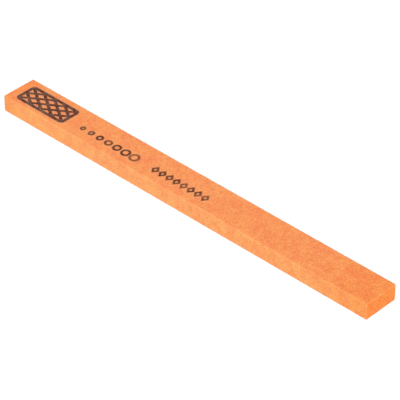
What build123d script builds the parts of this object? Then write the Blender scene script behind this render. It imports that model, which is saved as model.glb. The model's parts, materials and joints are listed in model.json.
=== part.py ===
from build123d import *
import os

# A flat abrasive file: one bar of abrasive grit and clay bond, pressed in a die and fired hard.
# It is solid right through, so it is one piece.
# It lies on a broad face. X runs along the bar, Y across it and Z up.
# The origin is the middle of the face that it lies on.

# The bar
LENGTH = 150.0
WIDTH = 12.7
THICKNESS = 5.8

# The arrises, rubbed down after firing so that they don't crumble in use
LONG_ARRIS_RADIUS = 0.3
END_ARRIS_RADIUS = 0.2


def pressed_section():
    """The flat section at the marked end, with its four long arrises eased."""
    outline = RectangleRounded(WIDTH, THICKNESS, LONG_ARRIS_RADIUS, align=(Align.CENTER, Align.MIN))
    return Plane.YZ.offset(-LENGTH / 2) * outline


def ease_ends(bar):
    """Round the arrises all the way round both square ends."""
    faces_along = bar.faces().sort_by(Axis.X)
    end_arrises = faces_along[0].edges() + faces_along[-1].edges()
    return fillet(end_arrises, END_ARRIS_RADIUS)


def abrasive_bar():
    """The section drawn out to the length of the file, with its ends eased."""
    bar = extrude(pressed_section(), amount=LENGTH)
    return ease_ends(bar)


os.makedirs("parts", exist_ok=True)
export_step(abrasive_bar(), "parts/abrasive_bar.step")
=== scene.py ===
import json
import math

import bpy
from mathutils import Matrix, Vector

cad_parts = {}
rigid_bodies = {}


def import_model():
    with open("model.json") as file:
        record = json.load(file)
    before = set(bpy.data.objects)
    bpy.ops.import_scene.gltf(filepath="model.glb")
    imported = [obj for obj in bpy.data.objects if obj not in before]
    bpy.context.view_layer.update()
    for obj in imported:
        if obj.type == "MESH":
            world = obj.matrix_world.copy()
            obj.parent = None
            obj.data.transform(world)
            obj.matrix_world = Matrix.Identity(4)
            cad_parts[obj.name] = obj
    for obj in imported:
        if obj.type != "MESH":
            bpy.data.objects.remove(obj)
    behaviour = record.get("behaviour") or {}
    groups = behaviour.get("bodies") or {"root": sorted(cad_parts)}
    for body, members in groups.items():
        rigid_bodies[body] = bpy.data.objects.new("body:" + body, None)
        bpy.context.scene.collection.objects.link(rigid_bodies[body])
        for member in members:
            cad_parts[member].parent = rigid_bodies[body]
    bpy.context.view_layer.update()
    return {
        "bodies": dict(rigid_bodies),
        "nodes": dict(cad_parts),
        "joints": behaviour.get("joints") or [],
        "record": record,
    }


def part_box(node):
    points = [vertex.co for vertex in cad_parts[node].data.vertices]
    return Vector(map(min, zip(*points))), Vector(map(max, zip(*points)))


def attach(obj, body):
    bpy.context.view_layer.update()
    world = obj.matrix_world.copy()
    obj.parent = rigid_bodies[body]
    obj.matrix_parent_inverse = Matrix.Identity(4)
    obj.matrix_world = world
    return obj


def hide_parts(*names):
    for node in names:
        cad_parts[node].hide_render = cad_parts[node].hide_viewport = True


# A flat abrasive file that lies on a pale table: one orange bar of fired grit, with ink marks on its top.
# Blender's own lengths are metres. The sizes below are in millimetres, as a maker would give them.
# A spread is the range of a random field over which something goes from none to all.
# A share is how much of a colour is laid over what is under it.

MM = 0.001

# The bar, and the square meshes that its skin is made of
BAR_NODE = "abrasive_bar"
ARRIS_RADIUS = 0.3
MESH_SPACING = 0.25
ARRIS_MESHES = 3

# The open pores that grains leave in the pressed skin. A pore's floor is this part of its radius, and its
# ragged outline sways this many times in one radius
PORE_PITCH = 1.25
PORE_RADIUS = 0.36
PORE_DEPTH = 0.10
PORE_FLOOR = 0.25
PORE_RAGGED = 0.30
PORE_SWAYS = 1.5
PORELESS_SHARE = 0.35

# How far the fired skin is from flat between the pores
UNEVEN_WIDTH = 0.8
UNEVEN_DEPTH = 0.02
UNEVEN_SPREAD = (0.3, 0.7)

# Arrises crumble a little where the faces don't
CRUMBLE_WIDTH = 0.5
CRUMBLE_DEPTH = 0.16
CRUMBLE_SPREAD = (0.45, 0.75)

# The seed of the bar's random fields and of the specks, as a distance by which each is shifted
SEED = 311.0

# The map for baking: strips of the skin with this gap between them
MAP_GAP = 0.6
MAP_SIDE = 82.0

# The sway that makes the outlines of clusters and specks ragged, and the finer one for grains
SWAY_WIDTH = 0.25
FINE_SWAY_WIDTH = 0.12

# Clusters of grains that share a colour: dark to pale, and yellow to pink
CLUSTER_WIDTH = 0.50
CLUSTER_SHADES = ("#F37838", "#FFB274")
CLUSTER_SPREAD = (0.1, 0.9)
CLUSTER_HUES = ("#FD9D48", "#FD9A74")
HUE_SHARE = 0.2

# The grains in the clusters, and the painted shade in the sunken gaps between them
GRAIN_WIDTH = 0.18
GRAIN_SHADES = ("#E07030", "#FFBA88")
GRAIN_SPREAD = (0.2, 0.8)
GRAIN_SHARE = 0.35
GAP_SHADE_COLOUR = "#B5521F"
GAP_SHADE_SPREAD = (0.50, 0.75)
GAP_SHADE_SHARE = 0.75

# Speckle is fainter towards the marked end, where this much of it is left over an even colour
MARKED_END = -75.0
PLAIN_END = 75.0
SPECKLE_LEFT = 0.62
EVEN_GRIT = "#F49760"

# Wide, soft clouds, yellower to pinker
CLOUD_WIDTH = 3.4
CLOUD_HUES = ("#FFAE65", "#FA8B58")
CLOUD_SPREAD = (0.38, 0.62)
CLOUD_SHARE = 0.3

# Where along the bar its colour deepens, as start, stop and by how much
DEEPER_ENDS = (
    (0.0, 35.0, 0.10),
    (48.0, 76.0, 0.40),
    (-25.0, -78.0, 0.14),
    (-67.0, -76.0, 0.36),
)

# What the red, green and blue are multiplied by, where the bar is deepest and on its narrow and end faces
DEEPEST = (1.0, 0.78, 0.42, 1.0)
# Painted light: narrow faces painted paler and yellower as lit ones, end faces a fuller orange as shaded ones
NARROW_FACES_PAINTED_LIT = (1.0, 1.2, 1.2, 1.0)
END_FACES_PAINTED_SHADE = (1.0, 0.98, 0.76, 1.0)

# Specks in the skin: colour, spacing, radius, the part of the cells without one, share. They are drawn wider
# by the swell, because their ragged outline eats into them. Each sort is shifted a step on from the last
SPECKS = (
    ("#FFC490", 1.10, 0.36, 0.50, 0.34),
    ("#DC6E2E", 0.80, 0.42, 0.25, 0.44),
    ("#BE602C", 1.40, 0.42, 0.50, 0.28),
)
SPECK_SWELL = 1.6
SPECK_STEP = 17.0

# The painted shade inside the pores, the rubbed arrises, and a grey fleck on the upper face
PORE_SHADE_COLOUR = "#B9602F"
PORE_SHADE_SHARE = 0.40
RUBBED_COLOUR = "#FFAB70"
RUBBED_SHARE = 0.15
FLECK_PLACE = (-72.9, -3.9, 5.8)
FLECK_RADIUS = 0.6
FLECK_COLOUR = "#D9A58A"
FLECK_SHARE = 0.5

# The marks in ink on the upper face, measured from its middle
NO_INK_UNDER = 4.0
PANEL_MIDDLE = (-61.3, -0.3)
PANEL_HALF = (10.5, 4.3)
PANEL_CORNER = 1.6
PANEL_LINE = 1.2
DIAMONDS_ALONG = 4
DIAMONDS_UP = 2
HATCH_LINE = 1.08
ROW_LEVEL = -1.65
RINGS_START = -44.2
RING_PITCH = 3.72
RINGS = 7
RING_RADIUS = 0.62
RING_GROWTH = 0.14
RING_LINE = 0.84
LOZENGES_START = -12.9
LOZENGE_PITCH = 2.95
LOZENGES = 8
LOZENGE_HALF = (1.42, 1.86)
LOZENGE_LINE = 0.76

# The ink's edge, and the haze that is smeared round it
INK_EDGE = 0.09
INK_RAGGED = 0.22
INK_SWAY_WIDTH = 0.28
HAZE_WIDTH = 0.7
HAZE_COLOUR = "#A8918A"

# The panel was stamped harder than the rows. Between these places the rows' share turns into the panel's
HARD_FROM = -47.0
HARD_TO = -49.0
HAZE_SHARES = (0.09, 0.22)
GREY_SHARES = (0.3, 1.0)

# How much ink is held: in the rows, in the panel, in a pore, where it was dabbed thinly and on proud grains
PRESS_WIDTH = 5.0
PRESS_SPREAD = (0.36, 0.60)
ROW_HOLD = (0.80, 0.97)
PANEL_HOLD = 0.97
PORE_HOLD = 0.35
INKED_PORE = 0.7
DAB_WIDTH = 1.5
DAB_SPREAD = (0.35, 0.65)
DAB_HOLD = 0.88
PROUD_GRAINS = (0.14, 0.26)
PROUD_HOLD = 0.74

# The ink is brown where it is thin and grey where it is thick, which is well inside its edge
INK_SHADES = ("#421C08", "#333539")
GREY_SPREAD = (0.42, 0.60)
RIM_GREY = 0.4
CORE_DEPTH = 0.40

# The grit that can be felt, and how dull it is. The open surface traps most of the shine of the glassy bond
GRIT_WIDTH = 0.25
GRIT_HEIGHT = 0.07
GRIT_STRENGTH = 0.7
GRIT_SPREAD = (0.3, 0.7)
ROUGHNESS = (0.82, 0.96)
INK_ROUGHNESS = -0.15
BOND_IOR = 1.5
TRAPPED_SHINE = 0.15

# The camera, found from the corners of the bar in the photograph
VIEW_AZIMUTH = 43.58
VIEW_ELEVATION = 37.03
VIEW_DISTANCE = 755.4
VIEW_ASIDE = 2.93
VIEW_DOWN = 2.17
FOCAL_LENGTH = 226.7
SENSOR_WIDTH = 36.0

# The softbox in front of the bar, in metres and watts, and the light of the room
SOFTBOX_AZIMUTH = 46.0
SOFTBOX_ELEVATION = 45.0
SOFTBOX_DISTANCE = 8.0
SOFTBOX_SIDE = 3.6
SOFTBOX_POWER = 616.0
ROOM_LIGHT = 0.464

# The table, in metres: its own colour, and the darker colour and the glow that the eye sees it by
TABLE_REACH = 3.0
TABLE_COLOUR = "#E6E6E6"
SEEN_TABLE_COLOUR = "#959595"
SEEN_TABLE_GLOW = 0.723
WHITE = "#FFFFFF"


def linear(hex_colour):
    """An sRGB hex colour as the linear colour that a shader takes."""
    parts = [int(hex_colour[i:i + 2], 16) / 255 for i in (1, 3, 5)]
    return [p / 12.92 if p <= 0.04045 else ((p + 0.055) / 1.055) ** 2.4 for p in parts] + [1.0]


def add(tree, kind, *fed, **named):
    """Add one node. fed fills its sockets in order. named has settings, in small letters, and sockets."""
    node = tree.nodes.new(kind)
    for name, value in named.items():
        if name.islower():
            setattr(node, name, value)
    live = [socket for socket in node.inputs if socket.enabled]
    feeds = list(zip(live, fed)) + [(socket, named[socket.name]) for socket in live if socket.name in named]
    for socket, value in feeds:
        if isinstance(value, bpy.types.Node):
            value = next(output for output in value.outputs if output.enabled)
        if isinstance(value, bpy.types.NodeSocket):
            tree.links.new(value, socket)
        elif value is not None:
            socket.default_value = value
    return node


def away(azimuth, elevation):
    """The direction from the bar towards something that stands at these angles, in degrees."""
    around, above = math.radians(azimuth), math.radians(elevation)
    return Vector((math.sin(around) * math.cos(above), -math.cos(around) * math.cos(above), math.sin(above)))


def random_sway(tree, place, scale, detail):
    """A random pull for each place, half a step each way, that makes whatever is drawn with it ragged."""
    noise = add(tree, "ShaderNodeTexNoise", Vector=place, Scale=scale, Detail=detail)
    return add(tree, "ShaderNodeVectorMath", noise.outputs["Color"], (0.5, 0.5, 0.5), operation="SUBTRACT")


def pulled(tree, place, sway, reach):
    """Each place after a sway of that reach has pulled it."""
    pull = add(tree, "ShaderNodeVectorMath", sway, Scale=reach, operation="SCALE")
    return add(tree, "ShaderNodeVectorMath", place, pull, operation="ADD")


# The bar's shape

def draw_in_outer_meshes(tree, size, half, core, radius, points):
    """Where each point of the block goes, so that the outermost meshes are together as wide as the arris."""
    where = add(tree, "GeometryNodeInputPosition")
    meshes = add(tree, "ShaderNodeVectorMath", points, (1, 1, 1), operation="SUBTRACT")
    mesh = add(tree, "ShaderNodeVectorMath", size, meshes, operation="DIVIDE")
    band = add(tree, "ShaderNodeVectorMath", mesh, Scale=ARRIS_MESHES, operation="SCALE")
    out = add(tree, "ShaderNodeVectorMath", where, operation="ABSOLUTE")
    flat = add(tree, "ShaderNodeVectorMath", half, band, operation="SUBTRACT")
    stretch = add(tree, "ShaderNodeVectorMath", core, flat, operation="DIVIDE")
    stretched = add(tree, "ShaderNodeVectorMath", out, stretch, operation="MULTIPLY")
    from_edge = add(tree, "ShaderNodeVectorMath", half, out, operation="SUBTRACT")
    bands_in = add(tree, "ShaderNodeVectorMath", from_edge, band, operation="DIVIDE")
    inward = add(tree, "ShaderNodeVectorMath", bands_in, Scale=radius, operation="SCALE")
    drawn = add(tree, "ShaderNodeVectorMath", half, inward, operation="SUBTRACT")
    nearer = add(tree, "ShaderNodeVectorMath", stretched, drawn, operation="MINIMUM")
    side = add(tree, "ShaderNodeVectorMath", where, operation="SIGN")
    return add(tree, "ShaderNodeVectorMath", nearer, side, operation="MULTIPLY")


def unwrapped_place(tree, length, width, thickness):
    """Where each corner of the block lies on the map: the long faces unrolled like a sleeve, in two halves of
    the length, one above the other, and the two ends beside each other over them."""
    where = add(tree, "GeometryNodeInputPosition")
    normal = add(tree, "GeometryNodeInputNormal")
    facing = add(tree, "GeometryNodeFieldOnDomain", normal, domain="FACE", data_type="FLOAT_VECTOR")
    middle = add(tree, "GeometryNodeFieldOnDomain", where, domain="FACE", data_type="FLOAT_VECTOR")
    place = add(tree, "ShaderNodeSeparateXYZ", where).outputs
    face = add(tree, "ShaderNodeSeparateXYZ", facing).outputs
    centre = add(tree, "ShaderNodeSeparateXYZ", middle).outputs
    gap = MAP_GAP * MM

    # Round the sleeve: front, top, back and underside are quarter turns 0, 1, 2 and 3
    toward_front = add(tree, "ShaderNodeMath", face["Y"], -1.0, operation="MULTIPLY")
    angle = add(tree, "ShaderNodeMath", face["Z"], toward_front, operation="ARCTAN2")
    turns = add(tree, "ShaderNodeMath", angle, 2 / math.pi, operation="MULTIPLY")
    whole_turns = add(tree, "ShaderNodeMath", turns, operation="ROUND")
    quarter = add(tree, "ShaderNodeMath", whole_turns, 4.0, operation="FLOORED_MODULO")
    girth = add(tree, "ShaderNodeMath", width, thickness, operation="ADD")
    half_girth = add(tree, "ShaderNodeMath", girth, 0.5, operation="MULTIPLY")
    half_front = add(tree, "ShaderNodeMath", thickness, 0.5, operation="MULTIPLY")
    face_middle = add(tree, "ShaderNodeMath", quarter, half_girth, half_front, operation="MULTIPLY_ADD")
    across = add(tree, "ShaderNodeVectorMath", where, facing, operation="CROSS_PRODUCT")
    around = add(tree, "ShaderNodeSeparateXYZ", across).outputs["X"]
    round_sleeve = add(tree, "ShaderNodeMath", face_middle, around, operation="ADD")
    right_half = add(tree, "ShaderNodeMath", centre["X"], 0.0, operation="GREATER_THAN")
    strip = add(tree, "ShaderNodeMath", girth, 2.0, gap, operation="MULTIPLY_ADD")
    half_length = add(tree, "ShaderNodeMath", length, 0.5, operation="MULTIPLY")
    left_half = add(tree, "ShaderNodeMath", 1.0, right_half, operation="SUBTRACT")
    sleeve_along = add(tree, "ShaderNodeMath", left_half, half_length, place["X"], operation="MULTIPLY_ADD")
    sleeve_up = add(tree, "ShaderNodeMath", right_half, strip, round_sleeve, operation="MULTIPLY_ADD")

    # The ends, over both strips
    half_width = add(tree, "ShaderNodeMath", width, 0.5, operation="MULTIPLY")
    end_pitch = add(tree, "ShaderNodeMath", width, gap, operation="ADD")
    end_start = add(tree, "ShaderNodeMath", right_half, end_pitch, half_width, operation="MULTIPLY_ADD")
    end_along = add(tree, "ShaderNodeMath", place["Y"], face["X"], end_start, operation="MULTIPLY_ADD")
    end_level = add(tree, "ShaderNodeMath", strip, 2.0, half_front, operation="MULTIPLY_ADD")
    end_up = add(tree, "ShaderNodeMath", place["Z"], end_level, operation="ADD")

    sleeve = add(tree, "ShaderNodeCombineXYZ", sleeve_along, sleeve_up)
    end = add(tree, "ShaderNodeCombineXYZ", end_along, end_up)
    square_on = add(tree, "ShaderNodeMath", face["X"], operation="ABSOLUTE")
    is_end = add(tree, "ShaderNodeMath", square_on, 0.5, operation="GREATER_THAN")
    laid = add(tree, "ShaderNodeMix", is_end, sleeve, end, data_type="VECTOR")
    margin = (gap / 2, gap / 2, 0)
    inset = add(tree, "ShaderNodeVectorMath", laid, margin, operation="ADD")
    return add(tree, "ShaderNodeVectorMath", inset, Scale=1 / (MAP_SIDE * MM), operation="SCALE")


def rounded_place(tree, core, radius):
    """The point one radius off the core that is nearest to each place, and the way outward there."""
    where = add(tree, "GeometryNodeInputPosition")
    low_core = add(tree, "ShaderNodeVectorMath", core, Scale=-1.0, operation="SCALE")
    not_under = add(tree, "ShaderNodeVectorMath", where, low_core, operation="MAXIMUM")
    on_core = add(tree, "ShaderNodeVectorMath", not_under, core, operation="MINIMUM")
    off_core = add(tree, "ShaderNodeVectorMath", where, on_core, operation="SUBTRACT")
    outward = add(tree, "ShaderNodeVectorMath", off_core, operation="NORMALIZE")
    stand_off = add(tree, "ShaderNodeVectorMath", outward, Scale=radius, operation="SCALE")
    return add(tree, "ShaderNodeVectorMath", on_core, stand_off, operation="ADD"), outward


def open_pores(tree, started, given):
    """How deep each place lies in a pore, from 0 to 1. A pore is a pit round a point of a loose lattice."""
    sways = add(tree, "ShaderNodeMath", PORE_SWAYS, given["Pore radius"], operation="DIVIDE")
    ragged = pulled(tree, started, random_sway(tree, started, sways, 1.0), PORE_RAGGED * 2 * MM)
    scale = add(tree, "ShaderNodeMath", 1.0, given["Pore pitch"], operation="DIVIDE")
    cells = add(tree, "ShaderNodeTexVoronoi", Vector=ragged, Scale=scale).outputs
    reach = add(tree, "ShaderNodeMapRange", cells["Color"], PORELESS_SHARE, 1.0, 0.0, given["Pore radius"])
    from_middle = add(tree, "ShaderNodeMath", cells["Distance"], given["Pore pitch"], operation="MULTIPLY")
    floor_of_pit = add(tree, "ShaderNodeMath", reach, PORE_FLOOR, operation="MULTIPLY")
    return add(tree, "ShaderNodeMapRange", from_middle, reach, floor_of_pit, 0.0, 1.0,
               interpolation_type="SMOOTHSTEP")


def arris_part(tree, facing):
    """1 half way round an arris and 0 on a face, from the squares of the outward direction's parts."""
    flatness = add(tree, "ShaderNodeVectorMath", facing, facing, operation="DOT_PRODUCT").outputs["Value"]
    return add(tree, "ShaderNodeMapRange", flatness, 1.0, 0.5, 0.0, 1.0)


def sunk_depth(tree, started, pore, arris, given):
    """How far each place sinks in from the die's face. Nothing stands proud of it."""
    crumble_scale = add(tree, "ShaderNodeMath", 1.0, given["Crumble width"], operation="DIVIDE")
    crumbs = add(tree, "ShaderNodeTexNoise", Vector=started, Scale=crumble_scale, Detail=2.0)
    crumbled = add(tree, "ShaderNodeMapRange", crumbs, *CRUMBLE_SPREAD, 0.0, given["Crumble depth"])
    lost = add(tree, "ShaderNodeMath", crumbled, arris, operation="MULTIPLY")
    uneven_scale = add(tree, "ShaderNodeMath", 1.0, given["Uneven width"], operation="DIVIDE")
    lie = add(tree, "ShaderNodeTexNoise", Vector=started, Scale=uneven_scale, Detail=2.0)
    dip = add(tree, "ShaderNodeMapRange", lie, *UNEVEN_SPREAD, 0.0, given["Uneven depth"])
    dip_and_loss = add(tree, "ShaderNodeMath", dip, lost, operation="ADD")
    return add(tree, "ShaderNodeMath", pore, given["Pore depth"], dip_and_loss, operation="MULTIPLY_ADD")


def bar_tree(material):
    """The tree that presses the bar: a block with rounded arrises, which then crumbles and gets its pores."""
    tree = bpy.data.node_groups.new("pressed_bar", "GeometryNodeTree")
    tree.interface.new_socket("Geometry", in_out="OUTPUT", socket_type="NodeSocketGeometry")
    for name in ("Points along", "Points across", "Points through"):
        tree.interface.new_socket(name, in_out="INPUT", socket_type="NodeSocketInt")
    for name in ("Length", "Width", "Thickness", "Arris radius", "Pore pitch", "Pore radius", "Pore depth",
                 "Uneven width", "Uneven depth", "Crumble width", "Crumble depth", "Seed"):
        tree.interface.new_socket(name, in_out="INPUT", socket_type="NodeSocketFloat")
    given = add(tree, "NodeGroupInput").outputs
    size = add(tree, "ShaderNodeCombineXYZ", given["Length"], given["Width"], given["Thickness"])
    counts = [given["Points " + way] for way in ("along", "across", "through")]
    points = add(tree, "ShaderNodeCombineXYZ", *counts)
    radius = given["Arris radius"]
    half = add(tree, "ShaderNodeVectorMath", size, Scale=0.5, operation="SCALE")
    core = add(tree, "ShaderNodeVectorMath", half, radius, operation="SUBTRACT")

    # The square block, with its map
    bar = add(tree, "GeometryNodeMeshCube", size, *counts)
    drawn = draw_in_outer_meshes(tree, size, half, core, radius, points)
    bar = add(tree, "GeometryNodeSetPosition", bar, Position=drawn)
    laid_out = unwrapped_place(tree, given["Length"], given["Width"], given["Thickness"])
    bar = add(tree, "GeometryNodeStoreNamedAttribute", bar, None, "OFBake", laid_out,
              data_type="FLOAT2", domain="CORNER")

    # Its arrises rounded
    rounded, outward = rounded_place(tree, core, radius)
    bar = add(tree, "GeometryNodeSetPosition", bar, Position=rounded)

    # What the material reads: the pores, and which way each place faces
    where = add(tree, "GeometryNodeInputPosition")
    started = add(tree, "ShaderNodeVectorMath", where, given["Seed"], operation="ADD")
    pore = open_pores(tree, started, given)
    facing = add(tree, "ShaderNodeVectorMath", outward, outward, operation="MULTIPLY")
    bar = add(tree, "GeometryNodeStoreNamedAttribute", bar, None, "pore", pore, data_type="FLOAT",
              domain="POINT")
    bar = add(tree, "GeometryNodeStoreNamedAttribute", bar, None, "facing", facing, data_type="FLOAT_VECTOR",
              domain="POINT")

    # The relief, and the bar stood on its underside
    depth = sunk_depth(tree, started, pore, arris_part(tree, facing), given)
    inward = add(tree, "ShaderNodeMath", depth, -1.0, operation="MULTIPLY")
    sunk = add(tree, "ShaderNodeVectorMath", outward, Scale=inward, operation="SCALE")
    bar = add(tree, "GeometryNodeSetPosition", bar, Offset=sunk)
    half_thickness = add(tree, "ShaderNodeMath", given["Thickness"], 0.5, operation="MULTIPLY")
    lift = add(tree, "ShaderNodeCombineXYZ", 0.0, 0.0, half_thickness)
    bar = add(tree, "GeometryNodeSetPosition", bar, Offset=lift)
    bar = add(tree, "GeometryNodeSetShadeSmooth", bar)
    bar = add(tree, "GeometryNodeRealizeInstances", bar)
    bar = add(tree, "GeometryNodeSetMaterial", bar, Material=material)
    add(tree, "NodeGroupOutput", bar)
    return tree


def press_bar(low, high, material):
    """Make the bar with its tree, as a plain mesh that fills the CAD bar's box from low to high."""
    size = high - low
    points = [2 * round(side / (2 * MESH_SPACING * MM)) + 1 for side in size]
    inputs = {"Points along": points[0], "Points across": points[1], "Points through": points[2],
              "Length": size.x, "Width": size.y, "Thickness": size.z, "Arris radius": ARRIS_RADIUS * MM,
              "Pore pitch": PORE_PITCH * MM, "Pore radius": PORE_RADIUS * MM, "Pore depth": PORE_DEPTH * MM,
              "Uneven width": UNEVEN_WIDTH * MM, "Uneven depth": UNEVEN_DEPTH * MM,
              "Crumble width": CRUMBLE_WIDTH * MM, "Crumble depth": CRUMBLE_DEPTH * MM, "Seed": SEED * MM}
    bar = bpy.data.objects.new("fired_bar", bpy.data.meshes.new("fired_bar"))
    pressing = bar.modifiers.new("pressing", "NODES")
    pressing.node_group = bar_tree(material)
    for item in pressing.node_group.interface.items_tree:
        if item.in_out == "INPUT":
            pressing[item.identifier] = inputs[item.name]
    bpy.context.scene.collection.objects.link(bar)
    graph = bpy.context.evaluated_depsgraph_get()
    pressed = bar.evaluated_get(graph)
    mesh = bpy.data.meshes.new_from_object(pressed, preserve_all_data_layers=True, depsgraph=graph)
    bar.modifiers.clear()
    bar.data = mesh
    return bar


# The marks in ink, each as its distance in millimetres from the nearest inked edge, below zero inside the ink

def hatched_panel(tree, place):
    """A round-cornered frame that is filled with crossing strokes, like the double cut of a file."""
    from_middle = add(tree, "ShaderNodeVectorMath", place, (*PANEL_MIDDLE, 0), operation="SUBTRACT")
    corner_of = (PANEL_HALF[0] - PANEL_CORNER, PANEL_HALF[1] - PANEL_CORNER, 0)
    aside = add(tree, "ShaderNodeVectorMath", from_middle, operation="ABSOLUTE")
    past = add(tree, "ShaderNodeVectorMath", aside, corner_of, operation="SUBTRACT")
    only_past = add(tree, "ShaderNodeVectorMath", past, (0, 0, 0), operation="MAXIMUM")
    reach = add(tree, "ShaderNodeVectorMath", only_past, operation="LENGTH").outputs["Value"]
    past_rim = add(tree, "ShaderNodeMath", reach, PANEL_CORNER - PANEL_LINE / 2, operation="SUBTRACT")
    off_rim = add(tree, "ShaderNodeMath", past_rim, operation="ABSOLUTE")
    frame = add(tree, "ShaderNodeMath", off_rim, PANEL_LINE / 2, operation="SUBTRACT")
    wide = 2 * (PANEL_HALF[0] - PANEL_LINE) / DIAMONDS_ALONG
    tall = 2 * (PANEL_HALF[1] - PANEL_LINE) / DIAMONDS_UP
    slope = math.hypot(wide, tall)
    half_pitch = wide * tall / slope / 2
    strokes = []
    for lean in (1, -1):
        square_to = (tall / slope, lean * wide / slope, 0)
        over = add(tree, "ShaderNodeVectorMath", from_middle, square_to, operation="DOT_PRODUCT")
        off_stroke = add(tree, "ShaderNodeMath", over.outputs["Value"], half_pitch, operation="PINGPONG")
        strokes.append(off_stroke)
    nearest = add(tree, "ShaderNodeMath", *strokes, operation="MINIMUM")
    stroke = add(tree, "ShaderNodeMath", nearest, HATCH_LINE / 2, operation="SUBTRACT")
    hatch = add(tree, "ShaderNodeMath", stroke, past_rim, operation="MAXIMUM")
    return add(tree, "ShaderNodeMath", frame, hatch, operation="MINIMUM")


def in_row(tree, place, start, pitch, count):
    """Which mark of a row is nearest, counted from 0, and the place measured from that mark's own middle."""
    from_start = add(tree, "ShaderNodeVectorMath", place, (start, ROW_LEVEL, 0), operation="SUBTRACT")
    along = add(tree, "ShaderNodeSeparateXYZ", from_start).outputs["X"]
    pitches = add(tree, "ShaderNodeMath", along, pitch, operation="DIVIDE")
    nearest = add(tree, "ShaderNodeMath", pitches, operation="ROUND")
    number = add(tree, "ShaderNodeClamp", nearest, 0.0, count - 1.0)
    step = add(tree, "ShaderNodeVectorMath", (pitch, 0, 0), Scale=number.outputs["Result"], operation="SCALE")
    return number, add(tree, "ShaderNodeVectorMath", from_start, step, operation="SUBTRACT")


def growing_rings(tree, place):
    """A row of rings, each a little wider than the last, as a plain scale from fine to coarse."""
    number, own_place = in_row(tree, place, RINGS_START, RING_PITCH, RINGS)
    radius = add(tree, "ShaderNodeMath", number, RING_GROWTH, RING_RADIUS, operation="MULTIPLY_ADD")
    reach = add(tree, "ShaderNodeVectorMath", own_place, operation="LENGTH").outputs["Value"]
    past = add(tree, "ShaderNodeMath", reach, radius, operation="SUBTRACT")
    off_line = add(tree, "ShaderNodeMath", past, operation="ABSOLUTE")
    return add(tree, "ShaderNodeMath", off_line, RING_LINE / 2, operation="SUBTRACT")


def lozenge_chain(tree, place):
    """A row of open lozenges, point to point."""
    own_place = in_row(tree, place, LOZENGES_START, LOZENGE_PITCH, LOZENGES)[1]
    aside = add(tree, "ShaderNodeVectorMath", own_place, operation="ABSOLUTE")
    wide, tall = LOZENGE_HALF
    slope = math.hypot(wide, tall)
    square_to = (tall / slope, wide / slope, 0)
    over = add(tree, "ShaderNodeVectorMath", aside, square_to, operation="DOT_PRODUCT").outputs["Value"]
    past = add(tree, "ShaderNodeMath", over, wide * tall / slope - LOZENGE_LINE / 2, operation="SUBTRACT")
    off_line = add(tree, "ShaderNodeMath", past, operation="ABSOLUTE")
    return add(tree, "ShaderNodeMath", off_line, LOZENGE_LINE / 2, operation="SUBTRACT")


def ink_marks(tree, place):
    """How far each place lies from the nearest inked edge. The edges are ragged, as on open grit."""
    ragged = pulled(tree, place, random_sway(tree, place, 1 / INK_SWAY_WIDTH, 2.0), INK_RAGGED * 2)
    on_face = add(tree, "ShaderNodeVectorMath", ragged, (1, 1, 0), operation="MULTIPLY")
    height = add(tree, "ShaderNodeSeparateXYZ", place).outputs["Z"]
    nearest = hatched_panel(tree, on_face)
    for row in (growing_rings(tree, on_face), lozenge_chain(tree, on_face)):
        nearest = add(tree, "ShaderNodeMath", nearest, row, operation="MINIMUM")
    too_low = add(tree, "ShaderNodeMath", NO_INK_UNDER, height, operation="SUBTRACT")
    return add(tree, "ShaderNodeMath", nearest, too_low, operation="MAXIMUM")


# The bar's colours, each layer over the last

def grain_colours(tree, place, sway, grains):
    """Clusters of grains, each paler or darker and pinker or yellower than the next, and the grains in them.
    Close to, the surface breaks up into them. The sunken gaps between grains are darkened as painted shade."""
    ragged = pulled(tree, place, sway, CLUSTER_WIDTH)
    clusters = add(tree, "ShaderNodeTexVoronoi", Vector=ragged, Scale=1 / CLUSTER_WIDTH)
    lightness = add(tree, "ShaderNodeMapRange", clusters.outputs["Color"], *CLUSTER_SPREAD, 0.0, 1.0)
    colour = add(tree, "ShaderNodeMix", lightness, *map(linear, CLUSTER_SHADES), data_type="RGBA")
    pink = add(tree, "ShaderNodeSeparateColor", clusters.outputs["Color"]).outputs["Red"]
    hue = add(tree, "ShaderNodeMix", pink, *map(linear, CLUSTER_HUES), data_type="RGBA")
    colour = add(tree, "ShaderNodeMix", HUE_SHARE, colour, hue, data_type="RGBA")
    paleness = add(tree, "ShaderNodeMapRange", grains.outputs["Color"], *GRAIN_SPREAD, 0.0, 1.0)
    grain = add(tree, "ShaderNodeMix", paleness, *map(linear, GRAIN_SHADES), data_type="RGBA")
    colour = add(tree, "ShaderNodeMix", GRAIN_SHARE, colour, grain, data_type="RGBA")
    # Painted shade: the sunken gaps between grains are darkened
    gap = add(tree, "ShaderNodeMapRange", grains.outputs["Distance"], *GAP_SHADE_SPREAD, 0.0, GAP_SHADE_SHARE)
    return add(tree, "ShaderNodeMix", gap, colour, linear(GAP_SHADE_COLOUR), data_type="RGBA")


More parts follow.
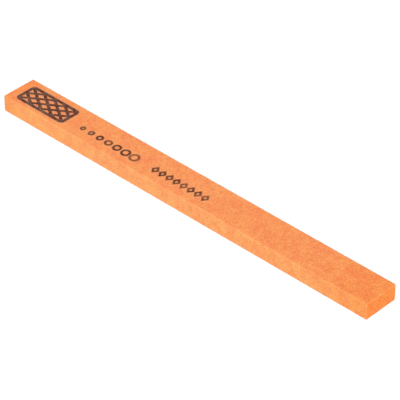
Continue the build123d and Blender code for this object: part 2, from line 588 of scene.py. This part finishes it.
def tints_and_painted_face_light(tree, colour, place, along, facing):
    """Soft clouds, colour that deepens towards both ends, the plain one more so, and painted light on the
    faces:
    narrow faces painted paler and yellower as lit ones, and end faces a fuller orange as shaded ones."""
    clouds = add(tree, "ShaderNodeTexNoise", Vector=place, Scale=1 / CLOUD_WIDTH, Detail=2.0)
    cloud = add(tree, "ShaderNodeMapRange", clouds, *CLOUD_SPREAD, 0.0, 1.0)
    tint = add(tree, "ShaderNodeMix", cloud, *map(linear, CLOUD_HUES), data_type="RGBA")
    colour = add(tree, "ShaderNodeMix", CLOUD_SHARE, colour, tint, data_type="RGBA")
    # The colour deepens towards both ends, the plain one more so
    for start, stop, strength in DEEPER_ENDS:
        deep = add(tree, "ShaderNodeMapRange", along, start, stop, 0.0, strength,
                   interpolation_type="SMOOTHSTEP")
        colour = add(tree, "ShaderNodeMix", deep, colour, DEEPEST, data_type="RGBA", blend_type="MULTIPLY")
    parts = add(tree, "ShaderNodeSeparateXYZ", facing).outputs
    # Painted light: the narrow faces are painted paler and yellower, the end faces a fuller, shaded orange
    for face, tint in ((parts["Y"], NARROW_FACES_PAINTED_LIT), (parts["X"], END_FACES_PAINTED_SHADE)):
        colour = add(tree, "ShaderNodeMix", face, colour, tint, data_type="RGBA", blend_type="MULTIPLY")
    return colour


def scatter_specks(tree, colour, place, sway, bold):
    """Specks that stand out from the rest, each sort on a lattice of its own."""
    for number, (hex_colour, pitch, radius, none, share) in enumerate(SPECKS):
        ragged = pulled(tree, place, sway, radius * SPECK_SWELL)
        shift = (SEED, SPECK_STEP * number, 0)
        shifted = add(tree, "ShaderNodeVectorMath", ragged, shift, operation="ADD")
        cells = add(tree, "ShaderNodeTexVoronoi", Vector=shifted, Scale=1 / pitch)
        widest = SPECK_SWELL * radius / pitch
        reach = add(tree, "ShaderNodeMapRange", cells.outputs["Color"], none, 1.0, 0.0, widest)
        inner = add(tree, "ShaderNodeMath", reach, 0.5, operation="MULTIPLY")
        fullest = add(tree, "ShaderNodeMath", bold, share, operation="MULTIPLY")
        speck = add(tree, "ShaderNodeMapRange", cells.outputs["Distance"], reach, inner, 0.0, fullest)
        colour = add(tree, "ShaderNodeMix", speck, colour, linear(hex_colour), data_type="RGBA")
    return colour


def wear_and_pore_shade(tree, colour, place, sway, bold, pore, facing):
    """Pores are darkened inside as painted shade, rubbed arrises are paler, and one grey fleck lies by the
    marked end.
    """
    # Painted shade: the insides of the pores are darkened, more so towards the plain end
    pore_shade_share = add(tree, "ShaderNodeMath", bold, PORE_SHADE_SHARE, operation="MULTIPLY")
    pore_shaded = add(tree, "ShaderNodeMath", pore, pore_shade_share, operation="MULTIPLY")
    colour = add(tree, "ShaderNodeMix", pore_shaded, colour, linear(PORE_SHADE_COLOUR), data_type="RGBA")
    rubbed = add(tree, "ShaderNodeMath", arris_part(tree, facing), RUBBED_SHARE, operation="MULTIPLY")
    colour = add(tree, "ShaderNodeMix", rubbed, colour, linear(RUBBED_COLOUR), data_type="RGBA")
    ragged = pulled(tree, place, sway, FLECK_RADIUS)
    from_fleck = add(tree, "ShaderNodeVectorMath", ragged, FLECK_PLACE, operation="DISTANCE").outputs["Value"]
    fleck = add(tree, "ShaderNodeMapRange", from_fleck, FLECK_RADIUS, FLECK_RADIUS / 2, 0.0, FLECK_SHARE)
    return add(tree, "ShaderNodeMix", fleck, colour, linear(FLECK_COLOUR), data_type="RGBA")


def stamped_ink(tree, colour, place, along, grains, pore):
    """Ink with its haze, missing in the pores and thin on some grains: the colour, and where ink lies."""
    off_ink = ink_marks(tree, place)
    hard = add(tree, "ShaderNodeMapRange", along, HARD_FROM, HARD_TO, 0.0, 1.0)
    smear = add(tree, "ShaderNodeMapRange", hard, 0.0, 1.0, *HAZE_SHARES)
    haze = add(tree, "ShaderNodeMapRange", off_ink, HAZE_WIDTH, 0.0, 0.0, smear)
    colour = add(tree, "ShaderNodeMix", haze, colour, linear(HAZE_COLOUR), data_type="RGBA")

    # How much of the surface the ink hides
    inked = add(tree, "ShaderNodeMapRange", off_ink, INK_EDGE, -INK_EDGE, 0.0, 1.0,
                interpolation_type="SMOOTHSTEP")
    pressure = add(tree, "ShaderNodeTexNoise", Vector=place, Scale=1 / PRESS_WIDTH, Detail=1.0)
    row_hold = add(tree, "ShaderNodeMapRange", pressure, *PRESS_SPREAD, *ROW_HOLD)
    held = add(tree, "ShaderNodeMapRange", hard, 0.0, 1.0, row_hold, PANEL_HOLD)
    past_pores = add(tree, "ShaderNodeMapRange", pore, 0.0, INKED_PORE, held, PORE_HOLD)
    dabs = add(tree, "ShaderNodeTexNoise", Vector=place, Scale=1 / DAB_WIDTH, Detail=2.0)
    dabbed = add(tree, "ShaderNodeMapRange", dabs, *DAB_SPREAD, 1.0, DAB_HOLD)
    on_grain = add(tree, "ShaderNodeMapRange", grains.outputs["Color"], *PROUD_GRAINS, PROUD_HOLD, 1.0)
    thickness = add(tree, "ShaderNodeMath", dabbed, on_grain, operation="MULTIPLY")
    cover = add(tree, "ShaderNodeMath", past_pores, thickness, operation="MULTIPLY")
    ink = add(tree, "ShaderNodeMath", inked, cover, operation="MULTIPLY")

    # Its own colour
    greyest = add(tree, "ShaderNodeMapRange", hard, 0.0, 1.0, *GREY_SHARES)
    grey_dab = add(tree, "ShaderNodeMapRange", dabs, *GREY_SPREAD, 0.0, greyest)
    core = add(tree, "ShaderNodeMapRange", off_ink, 0.0, -CORE_DEPTH, RIM_GREY, 1.0)
    grey = add(tree, "ShaderNodeMath", grey_dab, core, operation="MULTIPLY")
    ink_colour = add(tree, "ShaderNodeMix", grey, *map(linear, INK_SHADES), data_type="RGBA")
    return add(tree, "ShaderNodeMix", ink, colour, ink_colour, data_type="RGBA"), ink


def fired_grit():
    """Aluminium oxide grit in a clay bond, pressed and fired, with ink stamped on it.

    The eye gets a flat, dull orange with no shine, which close to breaks up into paler, rusty and brown
    grains. Real ones are under 0.1 mm and can't be seen one by one, so they are drawn coarser, 0.18 mm wide,
    in clusters of 0.5 mm.
    """
    material = bpy.data.materials.new("fired_grit_orange")
    material.use_nodes = True
    tree = material.node_tree
    tree.nodes.clear()
    metres = add(tree, "ShaderNodeTexCoord").outputs["Object"]
    place = add(tree, "ShaderNodeVectorMath", metres, Scale=1 / MM, operation="SCALE")
    along = add(tree, "ShaderNodeSeparateXYZ", place).outputs["X"]
    pore = add(tree, "ShaderNodeAttribute", attribute_name="pore").outputs["Fac"]
    facing = add(tree, "ShaderNodeAttribute", attribute_name="facing").outputs["Vector"]
    sway = random_sway(tree, place, 1 / SWAY_WIDTH, 2.0)
    fine_sway = random_sway(tree, place, 1 / FINE_SWAY_WIDTH, 2.0)
    ragged = pulled(tree, place, fine_sway, GRAIN_WIDTH)
    grains = add(tree, "ShaderNodeTexVoronoi", Vector=ragged, Scale=1 / GRAIN_WIDTH)
    bold = add(tree, "ShaderNodeMapRange", along, MARKED_END, PLAIN_END, SPECKLE_LEFT, 1.0)

    # The sunken gaps between grains get painted shade
    colour = grain_colours(tree, place, sway, grains)
    colour = add(tree, "ShaderNodeMix", bold, linear(EVEN_GRIT), colour, data_type="RGBA")
    # The narrow faces get painted light, paler, and the end faces painted shade, a fuller orange
    colour = tints_and_painted_face_light(tree, colour, place, along, facing)
    colour = scatter_specks(tree, colour, place, sway, bold)
    # The pores get painted shade inside
    colour = wear_and_pore_shade(tree, colour, place, sway, bold, pore, facing)
    colour, ink = stamped_ink(tree, colour, place, along, grains, pore)

    # Grit that can be felt: grains stand up from the bond. Ink fills the surface, which is then less dull
    grit = add(tree, "ShaderNodeTexNoise", Vector=place, Scale=1 / GRIT_WIDTH, Detail=3.0).outputs["Fac"]
    relief = add(tree, "ShaderNodeMath", grains.outputs["Distance"], -1.0, grit, operation="MULTIPLY_ADD")
    bump = add(tree, "ShaderNodeBump", Strength=GRIT_STRENGTH, Distance=GRIT_HEIGHT * MM, Height=relief)
    rough = add(tree, "ShaderNodeMapRange", grit, *GRIT_SPREAD, *ROUGHNESS)
    dull = add(tree, "ShaderNodeMath", ink, INK_ROUGHNESS, rough, operation="MULTIPLY_ADD")
    skin = add(tree, "ShaderNodeBsdfPrincipled", **{"Base Color": colour, "Roughness": dull, "IOR": BOND_IOR,
                                                    "Specular IOR Level": TRAPPED_SHINE, "Normal": bump})
    add(tree, "ShaderNodeOutputMaterial", skin)
    return material


# The table, the light and the camera

def seen_or_mirrored(tree):
    """1 for a ray that shows its surface to the eye, straight or mirrored, and 0 for one that lights."""
    path = add(tree, "ShaderNodeLightPath").outputs
    shown = add(tree, "ShaderNodeMath", path["Is Camera Ray"], path["Is Glossy Ray"], operation="MAXIMUM")
    return add(tree, "ShaderNodeMath", shown, path["Is Transmission Ray"], operation="MAXIMUM")


def lay_table():
    """A white table top that keeps the bar's soft shadow and looks as white as the photograph's ground."""
    material = bpy.data.materials.new("matt_white_table")
    material.use_nodes = True
    tree = material.node_tree
    tree.nodes.clear()
    lit = add(tree, "ShaderNodeBsdfDiffuse", linear(TABLE_COLOUR))
    shaded = add(tree, "ShaderNodeBsdfDiffuse", linear(SEEN_TABLE_COLOUR))
    glow = add(tree, "ShaderNodeEmission", linear(WHITE), SEEN_TABLE_GLOW)
    shown = add(tree, "ShaderNodeAddShader", shaded, glow)
    either = add(tree, "ShaderNodeMixShader", seen_or_mirrored(tree), lit, shown)
    add(tree, "ShaderNodeOutputMaterial", either)
    far, near = TABLE_REACH, -TABLE_REACH
    mesh = bpy.data.meshes.new("table")
    mesh.from_pydata([(near, near, 0), (far, near, 0), (far, far, 0), (near, far, 0)], [], [(0, 1, 2, 3)])
    mesh.materials.append(material)
    table = bpy.data.objects.new("table", mesh)
    bpy.context.scene.collection.objects.link(table)
    return table


def light_room():
    """White walls, which show as white and light the bar less than they show."""
    world = bpy.data.worlds.new("white_room")
    bpy.context.scene.world = world
    world.use_nodes = True
    tree = world.node_tree
    tree.nodes.clear()
    strength = add(tree, "ShaderNodeMapRange", seen_or_mirrored(tree), 0.0, 1.0, ROOM_LIGHT, 1.0)
    walls = add(tree, "ShaderNodeBackground", linear(WHITE), strength)
    add(tree, "ShaderNodeOutputWorld", walls)


def hang_softbox():
    """One large soft lamp in front of the bar and above it."""
    lamp = bpy.data.lights.new("softbox", "AREA")
    lamp.size = SOFTBOX_SIDE
    lamp.energy = SOFTBOX_POWER
    softbox = bpy.data.objects.new("softbox", lamp)
    toward = away(SOFTBOX_AZIMUTH, SOFTBOX_ELEVATION)
    softbox.location = toward * SOFTBOX_DISTANCE
    softbox.rotation_euler = toward.to_track_quat("Z", "Y").to_euler()
    bpy.context.scene.collection.objects.link(softbox)


def stand_camera(middle):
    """The photograph's camera, level, looking a little past the middle of the bar."""
    camera = bpy.data.objects.new("camera", bpy.data.cameras.new("camera"))
    camera.data.lens = FOCAL_LENGTH
    camera.data.sensor_width = SENSOR_WIDTH
    turn = away(VIEW_AZIMUTH, VIEW_ELEVATION).to_track_quat("Z", "Y")
    camera.location = middle + turn @ Vector((VIEW_ASIDE, -VIEW_DOWN, VIEW_DISTANCE)) * MM
    camera.rotation_euler = turn.to_euler()
    bpy.context.scene.collection.objects.link(camera)
    bpy.context.scene.camera = camera


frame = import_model()
low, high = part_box(BAR_NODE)

stand_camera((low + high) / 2)
light_room()
hang_softbox()
bpy.context.scene.view_settings.view_transform = "Standard"
lay_table()

bar = press_bar(low, high, fired_grit())
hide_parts(BAR_NODE)
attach(bar, "root")
